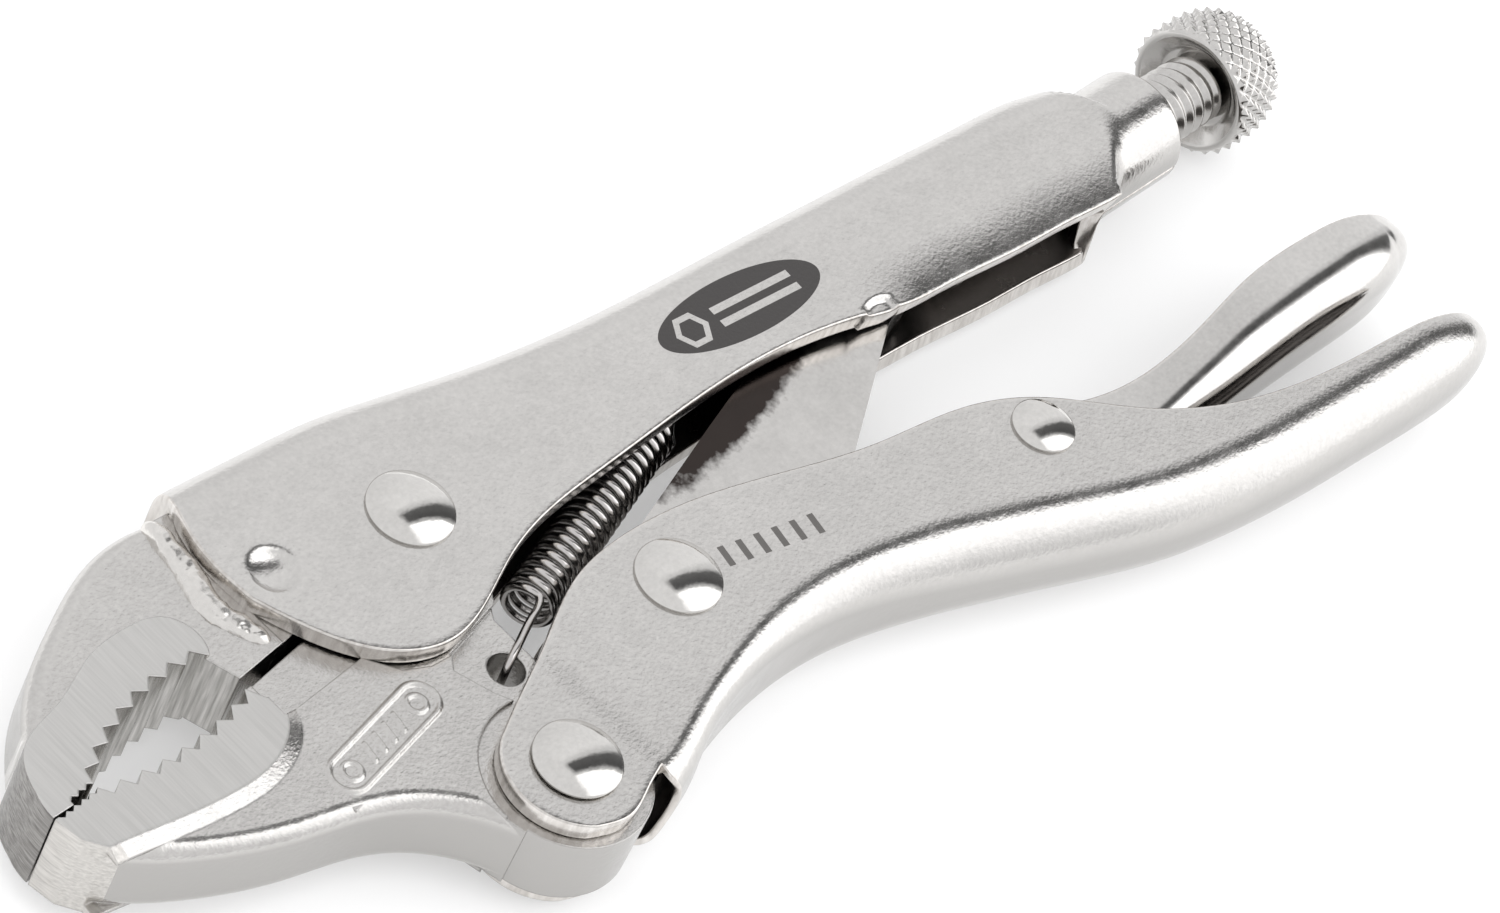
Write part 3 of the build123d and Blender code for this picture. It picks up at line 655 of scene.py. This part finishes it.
def buildHandle(s):
    # a channel between the free edge and the spine, its rows closer together towards the front
    columns = throughPoints(s["columns"], np.linspace(0, 1, s["rows"]) ** s["crowd"])
    edge, spine = columns[:, :2], columns[:, 2:]
    x = (edge[:, 0] + spine[:, 0]) / 2
    even = np.ones(len(x))
    curl = s["curl"] * ease(x, s["curlFrom"], s["curlTo"])
    grid, share = channelGrid(edge, spine, wallZ * even, s["bend"] * even, curl, s["curlSpan"], s["counts"])
    front = np.clip(1 - np.linspace(0, 1, len(x)) / s["bulgeEnd"], 0, 1) ** 2
    grid[..., 0] -= s["frontBulge"] * front[:, None] * np.sin(np.pi * share)
    # stake dish, spring lug bump and coined notch, as moves along Z or Y
    outward = np.sign(grid[..., 2])
    far = np.hypot(grid[..., 0] - s["dimple"][0], grid[..., 1] - s["dimple"][1]) / s["dimpleR"]
    grid[..., 2] -= outward * s["dimpleDepth"] * np.clip(1 - far ** 2, 0, 1) ** s["dimpleSlope"]
    onSpine = share > s["flatShare"]
    swell = np.exp(-((grid[..., 0] - s["bumpX"]) / s["bumpLong"]) ** 2 - (grid[..., 2] / s["bumpWide"]) ** 2)
    grid[..., 1] += onSpine * s["bumpHigh"] * swell
    reach = 1 - ease(np.abs(grid[..., 0] - s["notchX"]), s["notchHalf"] - s["notchSide"], s["notchHalf"])
    bowed = grid[..., 1] + s["notchBow"] * (grid[..., 0] - s["notchX"]) ** 2
    low = 1 - ease(bowed, *(s["notchTop"] + step for step in s["notchRim"]))
    grid[..., 2] -= outward * s["notchDepth"] * reach * low
    # collar: each section point goes to the circle point at the same share of the section
    steps = np.linalg.norm(np.diff(grid, axis=1), axis=2)
    length = np.concatenate((np.zeros((len(x), 1)), np.cumsum(steps, axis=1)), 1)
    length /= length[:, -1:]
    gap = math.radians(s["seam"])
    angle = gap + (2 * np.pi - 2 * gap) * length
    ring = np.stack((grid[..., 0], s["axisY"] - s["collarR"] * np.cos(angle),
                     s["collarR"] * np.sin(angle)), 2)
    foldY, foldX = np.array(s["fold"]).T
    foldAt = np.interp(grid[..., 1], foldY, foldX)
    near = ease(grid[..., 0], foldAt, foldAt + s["foldWidth"])[..., None]
    grid = grid * (1 - near) + ring * near
    keep = np.ones((grid.shape[0] - 1, grid.shape[1] - 1), bool)
    points, faces, kinds = sheetSolid(grid, s["sheet"], keep, s["rim"], (len(x) // 2, 10))
    finishPiece("handleShell", points, [faces], kinds, (sheetLook, edgeLook, plainLooks["inside"]),
                "handle", ["upper_handle"])


tailSpare = 0.06  # the tail would close this far past its end
tailSheet = 0.45  # the sheet takes at most this share of the half width


def tailWidth(x, full, start, end):
    # full width up to start, then a quarter ellipse that closes just past end
    share = np.clip(x - start, 0, None) / (end - start + tailSpare)
    return full * np.sqrt(np.clip(1 - share ** 2, 0, 1))


leverShape = {
    # rim x, y and spine x, y; in front of the mouth the second pair is the ear's lower edge
    "columns": ((-11.4, -23.6, -10.8, -37.9), (-6.5, -21.3, -7.3, -38.8), (-1.5, -19.1, -3.4, -37.4),
                (3.6, -16.6, 1.2, -35.9), (9.0, -14.5, 7.5, -33.8), (17.5, -13.8, 16.5, -31.6),
                (27.5, -15.2, 27.0, -31.2), (45.5, -20.0, 44.0, -35.3), (60.5, -22.9, 61.0, -41.4),
                (66.5, -26.0, 67.5, -43.6), (74.5, -32.5, 75.5, -45.5), (83.5, -37.4, 84.5, -46.8),
                (99.5, -40.9, 99.5, -47.95), (111.5, -42.1, 112, -48.5), (121.3, -43.9, 121.3, -48.0)),
    "rows": 330, "crowd": 1.15, "counts": (34, 14, 4), "sheet": 2.0, "rim": 0.25,
    "mouthX": -0.9, "mouthBow": 2.7, "mouthFade": (1.0, 12.0), "mouthThin": 0.6, "thinLong": 2.0,
    "flatShare": 0.9,
    "bendX": (0, 14, 30, 45, 56), "bend": (2.5, 2.7, 4.2, 5.6, 5.95), "bendShare": 0.96,
    "earR": 7.0, "chord": 5.87, "bulgeEnd": 0.085, "bulgeSlope": 1.5,
    "crease": (-0.3, -19.7, 0.7, -32.2), "creaseStep": (-2.6, 0.2), "creaseDrop": 0.2,
    "tailStart": 110.0, "tailEnd": 121.3, "tailLift": 2.6, "liftAfter": 2}


def liftTail(columns, s):
    # the spine rises to the rim along the last millimetres, as a quarter ellipse
    after, whole = (x - s["tailStart"] - s["liftAfter"] for x in (columns[:, 2], s["tailEnd"]))
    t = np.clip(after / whole, 0, 1)
    columns[:, 3] += s["tailLift"] * (1 - np.sqrt(np.clip(1 - t ** 2, 0, 1)))
    return columns


def thinSheet(sheet, half, grid):
    # the sheet thins where the tail closes, so that its inside never crosses itself
    return np.minimum(sheet, tailSheet * half)[:, None] * np.ones(grid.shape[1])


def buildLever(s):
    # a channel between the rim and the spine, its rows closer together towards the tail
    at = 1 - (1 - np.linspace(0, 1, s["rows"])) ** s["crowd"]
    columns = liftTail(throughPoints(s["columns"], at), s)
    edge, spine = columns[:, :2], columns[:, 2:]
    x = spine[:, 0]
    half = tailWidth(x, wallZ, s["tailStart"], s["tailEnd"])
    bend = np.minimum(np.interp(x, s["bendX"], s["bend"]), s["bendShare"] * half)
    grid, share = channelGrid(edge, spine, half, bend, 0 * x, 1.0, s["counts"])
    wall = s["counts"][0]
    ear = np.clip(1 - at / s["bulgeEnd"], 0, 1)[:, None] ** s["bulgeSlope"]
    along = np.linspace(-1, 1, wall)[None]
    arc = np.sqrt(s["earR"] ** 2 - (s["chord"] * along) ** 2) - math.sqrt(s["earR"] ** 2 - s["chord"] ** 2)
    grid[:, :wall, 0] -= ear * arc
    grid[:, -wall:, 0] -= ear * arc[:, ::-1]
    x0, y0, x1, y1 = s["crease"]
    lineX = x0 + (grid[..., 1] - y0) * (x1 - x0) / (y1 - y0)
    ahead = 1 - ease(grid[..., 0], *(lineX + step for step in s["creaseStep"]))
    grid[..., 2] -= np.sign(grid[..., 2]) * s["creaseDrop"] * ahead
    # the mouth of the bend is bowed back towards the middle plane, fading along the lever
    keep = np.ones((grid.shape[0] - 1, grid.shape[1] - 1), bool)
    bow = s["mouthBow"] * (1 - ease(x, *(s["mouthX"] + step for step in s["mouthFade"])))[:, None]
    grid[:, wall:-wall, 0] += bow * (1 - (grid[:, wall:-wall, 2] / wallZ) ** 2)
    mouth = np.searchsorted(x, s["mouthX"])
    keep[:mouth, wall - 1:grid.shape[1] - wall] = False
    nearMouth = np.exp(-((x - s["mouthX"]) / s["thinLong"]) ** 2)[:, None]
    thin = 1 - s["mouthThin"] * nearMouth * (share > s["flatShare"])
    thick = thinSheet(s["sheet"], half, grid) * thin
    points, faces, kinds = sheetSolid(grid, thick, keep, s["rim"], (len(x) // 2, 10))
    finishPiece("leverShell", points, [faces], kinds, (leverSheet, edgeLook, plainLooks["inside"]),
                "lever", ["lever"])


releaseShape = {
    # rim x, y and spine x, y from the front to the rear, then the half width at halfX
    "columns": ((54.0, -25.4, 54.0, -30.8), (58.0, -24.6, 58.0, -32.2), (64.0, -24.4, 64.0, -33.8),
                (71.0, -27.2, 72.0, -35.2), (81.0, -29.1, 82.0, -35.6), (90.0, -28.6, 90.0, -35.6),
                (99.0, -27.5, 100.0, -35.5), (109.0, -27.5, 109.5, -35.6), (116.0, -28.3, 116.5, -35.4),
                (123.8, -30.2, 123.8, -34.6)),
    "rows": 210, "counts": (22, 18, 3), "sheet": 1.6, "rim": 0.22,
    "halfX": (54, 77, 82, 88, 94, 100, 104), "half": (3.8, 3.8, 4.1, 4.9, 5.8, 6.2, 6.25),
    "bendX": (60, 78, 92, 104), "bend": (2.6, 3.0, 4.2, 4.7), "bendShare": 0.95,
    "tailStart": 111.5, "tailEnd": 123.8, "tailLift": 2.4, "liftAfter": 2}


def buildRelease(s):
    # a channel like the lever's, wider towards its thumb pad
    columns = liftTail(throughPoints(s["columns"], np.linspace(0, 1, s["rows"])), s)
    edge, spine = columns[:, :2], columns[:, 2:]
    x = spine[:, 0]
    first, last = s["halfX"][0], s["halfX"][-1]
    widths = np.array((s["halfX"], s["half"])).T
    full = throughPoints(widths, (x - first) / (last - first), s["halfX"])[:, 1]
    half = tailWidth(x, full, s["tailStart"], s["tailEnd"])
    bend = np.minimum(np.interp(x, s["bendX"], s["bend"]), s["bendShare"] * half)
    grid, _ = channelGrid(edge, spine, half, bend, 0 * x, 1.0, s["counts"])
    keep = np.ones((grid.shape[0] - 1, grid.shape[1] - 1), bool)
    thick = thinSheet(s["sheet"], half, grid)
    points, faces, kinds = sheetSolid(grid, thick, keep, s["rim"], (len(x) // 2, 6))
    finishPiece("releaseShell", points, [faces], kinds,
                (plainLooks["polished"], edgeLook, plainLooks["inside"]),
                "release", ["release_lever"])


buildHandle(handle)
buildLever(leverShape)
buildRelease(releaseShape)
print("pressed sheets ready")


screw = {"axisY": -4.7, "from": 75.2, "to": 120.4, "r": 3.9, "pitch": 1.6, "depth": 0.48,
         "perTurn": 12, "round": 60, "flankSlope": 1.25, "grooveFloor": 0.12,
         "point": (-0.4, 1.4), "neck": (118.2, 119.4), "neckDrop": 0.12, "tipDrop": 0.2}
knob = {"front": 119.0, "knurls": 26, "pitch": 1.75, "depth": 0.44, "gain": 1.3, "floor": 0.35,
        "perKnurl": 10, "barrelRows": 90, "backRows": 8, "fadeIn": (0.2, 0.7), "fadeOut": (1.6, 0.4),
        # distance from the axis and distance along it from the front: the dished front, the
        # knurled barrel and the plain back
        "dishLine": ((0.0, 1.9), (4.2, 1.9), (4.7, 1.75), (6.1, 0.25), (6.4, 0.0), (6.75, 0.05)),
        "barrel": ((6.75, 0.05), (7.0, 0.5), (7.12, 2.0), (7.12, 4.0), (6.9, 5.6), (6.3, 7.2),
                   (5.2, 8.4), (3.6, 9.1)),
        "backLine": ((3.6, 9.1), (1.8, 9.3), (0.0, 9.3))}


def buildScrew(s):
    # thread: the radius dips once per pitch along the axis, shifted by the turn angle
    count = int((s["to"] - s["from"]) / s["pitch"] * s["perTurn"])
    x = np.linspace(s["from"], s["to"], count)
    angle = np.linspace(0, 2 * np.pi, s["round"], endpoint=False)
    phase = (x[:, None] / s["pitch"] - angle[None] / (2 * np.pi)) % 1
    groove = np.clip(s["flankSlope"] * (1 - np.abs(2 * phase - 1)) - s["grooveFloor"], 0, 1)
    point = ease(x, *(s["from"] + step for step in s["point"]))
    taper = np.minimum(point, 1 - s["neckDrop"] * ease(x, *s["neck"]))[:, None]
    radius = (s["r"] - s["depth"] * (1 - groove)) * (1 - s["tipDrop"] + s["tipDrop"] * taper)
    points, faces = ringGrid(radius, x, angle, (0, s["axisY"], 0), 0)
    finishPiece("threadedScrew", points, faces, 0, (plainLooks["smooth"],),
                "screw", ["adjusting_screw"])


def buildKnob(s):
    # barrel with two crossing families of V grooves: height is the smaller of two triangle waves
    dish = np.array(s["dishLine"])
    bulge = throughPoints(s["barrel"], np.linspace(0, 1, s["barrelRows"]))
    back = throughPoints(s["backLine"], np.linspace(0, 1, s["backRows"]))[1:]
    angle = np.linspace(0, 2 * np.pi, s["knurls"] * s["perKnurl"], endpoint=False)
    walk = np.concatenate(([0], np.cumsum(np.linalg.norm(np.diff(bulge, axis=0), axis=1))))
    turns = s["knurls"] * angle[None] / (2 * np.pi)
    lean = walk[:, None] / s["pitch"]
    waves = [np.abs(((turns + sign * lean) % 1) * 2 - 1) for sign in (1, -1)]
    out = ease(walk, *(walk[-1] - step for step in s["fadeOut"]))
    fade = (ease(walk, *s["fadeIn"]) * (1 - out))[:, None]
    height = s["depth"] * (np.minimum(*waves) * s["gain"] - s["floor"]) * fade
    radius = np.concatenate((np.repeat(dish[1:-1, :1], len(angle), 1), bulge[:, :1] + height,
                             np.repeat(back[:-1, :1], len(angle), 1)))
    place = s["front"] + np.concatenate((dish[1:-1, 1], bulge[:, 1], back[:-1, 1]))
    points, faces = ringGrid(radius, place, angle, (0, screw["axisY"], 0), 0)
    finishPiece("knurledKnob", points, faces, 0, (plainLooks["knurl"],),
                "knob", ["adjusting_knob"])


buildScrew(screw)
buildKnob(knob)
print("screw and knob ready")


# middle, head radius, head height, shank radius and the body it rides
rivets = {"jaw_pivot_rivet": ((0.0, 0.0), 4.4, 1.6, 2.8, "handle"),
          "lever_pivot_rivet": ((-7.3, -29.3), 4.4, 1.6, 2.8, "lever"),
          "link_rivet": ((16.8, -20.1), 4.4, 1.6, 2.8, "lever"),
          "release_lever_rivet": ((63.3, -28.2), 3.3, 1.2, 2.0, "lever")}
dome = {"roll": 0.28, "rollIn": 0.35, "rollFrom": 0.15, "capRows": 26, "rollRows": 6, "round": 72}


def buildRivet(s, name, centre, headR, headH, shankR, body):
    # spherical cap with a small rolled edge, straight shank, and the same cap on the far side
    roll = s["roll"]
    domeR = (headR ** 2 + (headH - roll) ** 2) / (2 * (headH - roll))
    lean = np.linspace(0, math.asin(headR / domeR), s["capRows"])
    cap = np.stack((domeR * np.sin(lean), wallZ + headH - domeR * (1 - np.cos(lean))), 1)
    turn = np.linspace(s["rollFrom"], math.pi / 2, s["rollRows"])
    edge = np.stack((headR - roll * s["rollIn"] * (1 - np.cos(turn)), wallZ + roll * (1 - np.sin(turn))), 1)
    upper = np.concatenate((cap[1:], edge, ((shankR, wallZ),)))
    profile = np.concatenate((upper, upper[::-1] * (1, -1)))
    points, faces = revolve(profile, (*centre, 0), 2, s["round"])
    finishPiece(name.replace("_rivet", "Dome"), points, faces, 0,
                (plainLooks["dome"],), body, [name])


for rivetName, rivetShape in rivets.items():
    buildRivet(dome, rivetName, *rivetShape)
print("rivets ready")


spring = {"start": (6.2, -12.2), "end": (33.5, -3.8), "coilR": 2.45, "wireR": 0.42, "turns": 22,
          "phase": 2.08, "perTurn": 26, "hookRows": 90, "tailRows": 50, "round": 12,
          "hook": ((-3.1, -17.3, -1.2), (-3.1, -17.3, 1.4), (-2.8, -17.1, 3.1), (-1.9, -16.7, 3.75),
                   (0.6, -15.6, 3.6), (3.6, -14.35, 3.0), (5.5, -13.6, 2.45)),
          "tail": ((37.8, -1.6, 1.6), (39.6, -0.8, 1.9), (40.0, -0.6, 0.6), (40.0, -0.6, -1.4))}


def buildSpring(s):
    # helix around the line from start to end, running into the hook in front and the tail behind
    start, end = np.array((*s["start"], 0)), np.array((*s["end"], 0))
    axis = (end - start) / np.linalg.norm(end - start)
    side = np.array((-axis[1], axis[0], 0))
    t = np.linspace(0, 1, s["turns"] * s["perTurn"])
    turn = s["phase"] - 2 * np.pi * s["turns"] * t
    ring = np.cos(turn)[:, None] * side + np.sin(turn)[:, None] * (0, 0, 1)
    coil = start + (end - start) * t[:, None] + s["coilR"] * ring
    lead = throughPoints([*s["hook"], coil[1], coil[3]], np.linspace(0, 1, s["hookRows"]))[:-2]
    rest = throughPoints([coil[-7], coil[-1], *s["tail"]], np.linspace(0, 1, s["tailRows"]))[6:]
    path = np.concatenate((lead, coil[3:-5], rest))
    points, faces = tubeGrid(path, s["wireR"], s["round"])
    # the ends of the tail and hook are passed on, but finishPiece only fixes the piece where it is built
    ends = [tuple((np.array((x, y, 0)) + pivot) * mm) for x, y in (s["end"], s["hook"][0][:2])]
    finishPiece("springWire", points, faces, 0, (plainLooks["wire"],),
                ("handle", "jaw", *ends), ["return_spring"])


buildSpring(spring)
print("spring ready")


weld = {"path": ((-21.4, 13.6), (-21.7, 9.5), (-22.4, 5.5), (-22.9, 2.2), (-22.0, -0.6), (-20.8, -3.0)),
        "level": 3.95, "radius": 1.42, "radiusSpan": (0.5, 1.9), "lumps": 0.28, "seed": 11,
        "rows": 150, "round": 64, "endSlope": 6, "endLeast": 0.02,
        # cells along and around, and weight of each layer of lumps
        "layers": (((7, 5), 0.7), ((16, 8), 0.3), ((46, 22), 0.07))}


def roughField(rows, count, cells, rng):
    # random numbers on a coarse grid, closed around, smoothed up to the full grid
    coarse = rng.standard_normal((cells[0], cells[1]))
    u = np.linspace(0, cells[0] - 1.001, rows)
    v = np.linspace(0, cells[1], count, endpoint=False)
    i, j = u.astype(int), v.astype(int)
    a, b = ease(u - i, 0, 1)[:, None], ease(v - j, 0, 1)[None]
    wrap = (j + 1) % cells[1]
    near = coarse[i][:, j] * (1 - b) + coarse[i][:, wrap] * b
    far = coarse[i + 1][:, j] * (1 - b) + coarse[i + 1][:, wrap] * b
    return near * (1 - a) + far * a


def buildWeld(s, side, name, node):
    # tube whose radius swells by three layers of smoothed random numbers, coarse to fine
    rng = np.random.default_rng(s["seed"] + side)
    rows, count = s["rows"], s["round"]
    path = throughPoints([(x, y, side * s["level"]) for x, y in s["path"]], np.linspace(0, 1, rows))
    field = sum(roughField(rows, count, cells, rng) * weight for cells, weight in s["layers"])
    fromMiddle = np.abs(np.linspace(-1, 1, rows))
    ends = np.sqrt(np.clip(1 - fromMiddle ** s["endSlope"], s["endLeast"], 1))[:, None]
    radius = np.clip(s["radius"] + s["lumps"] * field, *s["radiusSpan"]) * ends
    points, faces = tubeGrid(path, radius, count)
    finishPiece(name, points, faces, 0, (plainLooks["weldSkin"],), "handle",
                [node])


buildWeld(weld, 1, "weldNear", "weld_bead_near")
buildWeld(weld, -1, "weldFar", "weld_bead_far")
print("weld ready")


pad = {"centre": (-19.6, -16.6), "half": (8.1, 2.3), "tilt": 10.5, "level": 4.4, "sheet": 0.6, "rim": 0.02,
       "grid": (240, 84), "margin": 0.5, "rimHigh": 0.34, "rimIn": 0.35, "rimWide": 0.26,
       "skirt": (-0.05, 0.4), "skirtDrop": 0.12, "sink": 0.02, "markHigh": 0.26,
       "rings": (-5.4, 5.4), "ringR": 0.95, "ringWide": 0.24,
       "bars": (-2.4, -0.8, 0.8, 2.4), "barSlant": 0.35, "barEdge": (0.12, 0.42), "barEnd": (0.9, 1.25)}


def buildPad(s):
    # height over a rounded slot: a ridge just inside its outline, rings and slanted bars inside
    a, b = s["half"]
    nu, nv = s["grid"]
    u, v = np.meshgrid(*(np.linspace(-side - s["margin"], side + s["margin"], count)
                         for side, count in ((a, nu), (b, nv))), indexing="ij")
    out = np.hypot(np.clip(np.abs(u) - (a - b), 0, None), v) - b
    ridge = s["rimHigh"] * np.exp(-((out + s["rimIn"]) / s["rimWide"]) ** 2)
    high = ridge - s["skirtDrop"] * ease(out, *s["skirt"]) - s["sink"]
    for spot in s["rings"]:
        reach = np.hypot(u - spot, v)
        high += s["markHigh"] * np.exp(-((reach - s["ringR"]) / s["ringWide"]) ** 2)
    for spot in s["bars"]:
        off = np.abs((u - spot) - s["barSlant"] * v)
        high += s["markHigh"] * (1 - ease(off, *s["barEdge"])) * (1 - ease(np.abs(v), *s["barEnd"]))
    turn = math.radians(s["tilt"])
    x = s["centre"][0] + u * math.cos(turn) - v * math.sin(turn)
    y = s["centre"][1] + u * math.sin(turn) + v * math.cos(turn)
    top = np.stack((x, y, s["level"] + high), 2)
    keep = np.ones((nu - 1, nv - 1), bool)
    points, faces, _ = sheetSolid(top, s["sheet"], keep, s["rim"], (nu // 2, nv // 2))
    finishPiece("forgeMark", points, [faces], 0, (jawSkin,), "jaw", [])


buildPad(pad)


carried = {"fixed_jaw": jawSkin, "moving_jaw": jawSkin, "toggle_link": linkLook(paintedReflection)}
for nodeName, look in carried.items():
    for slot in nodes[nodeName].material_slots:
        slot.material = look
print("carried nodes painted")
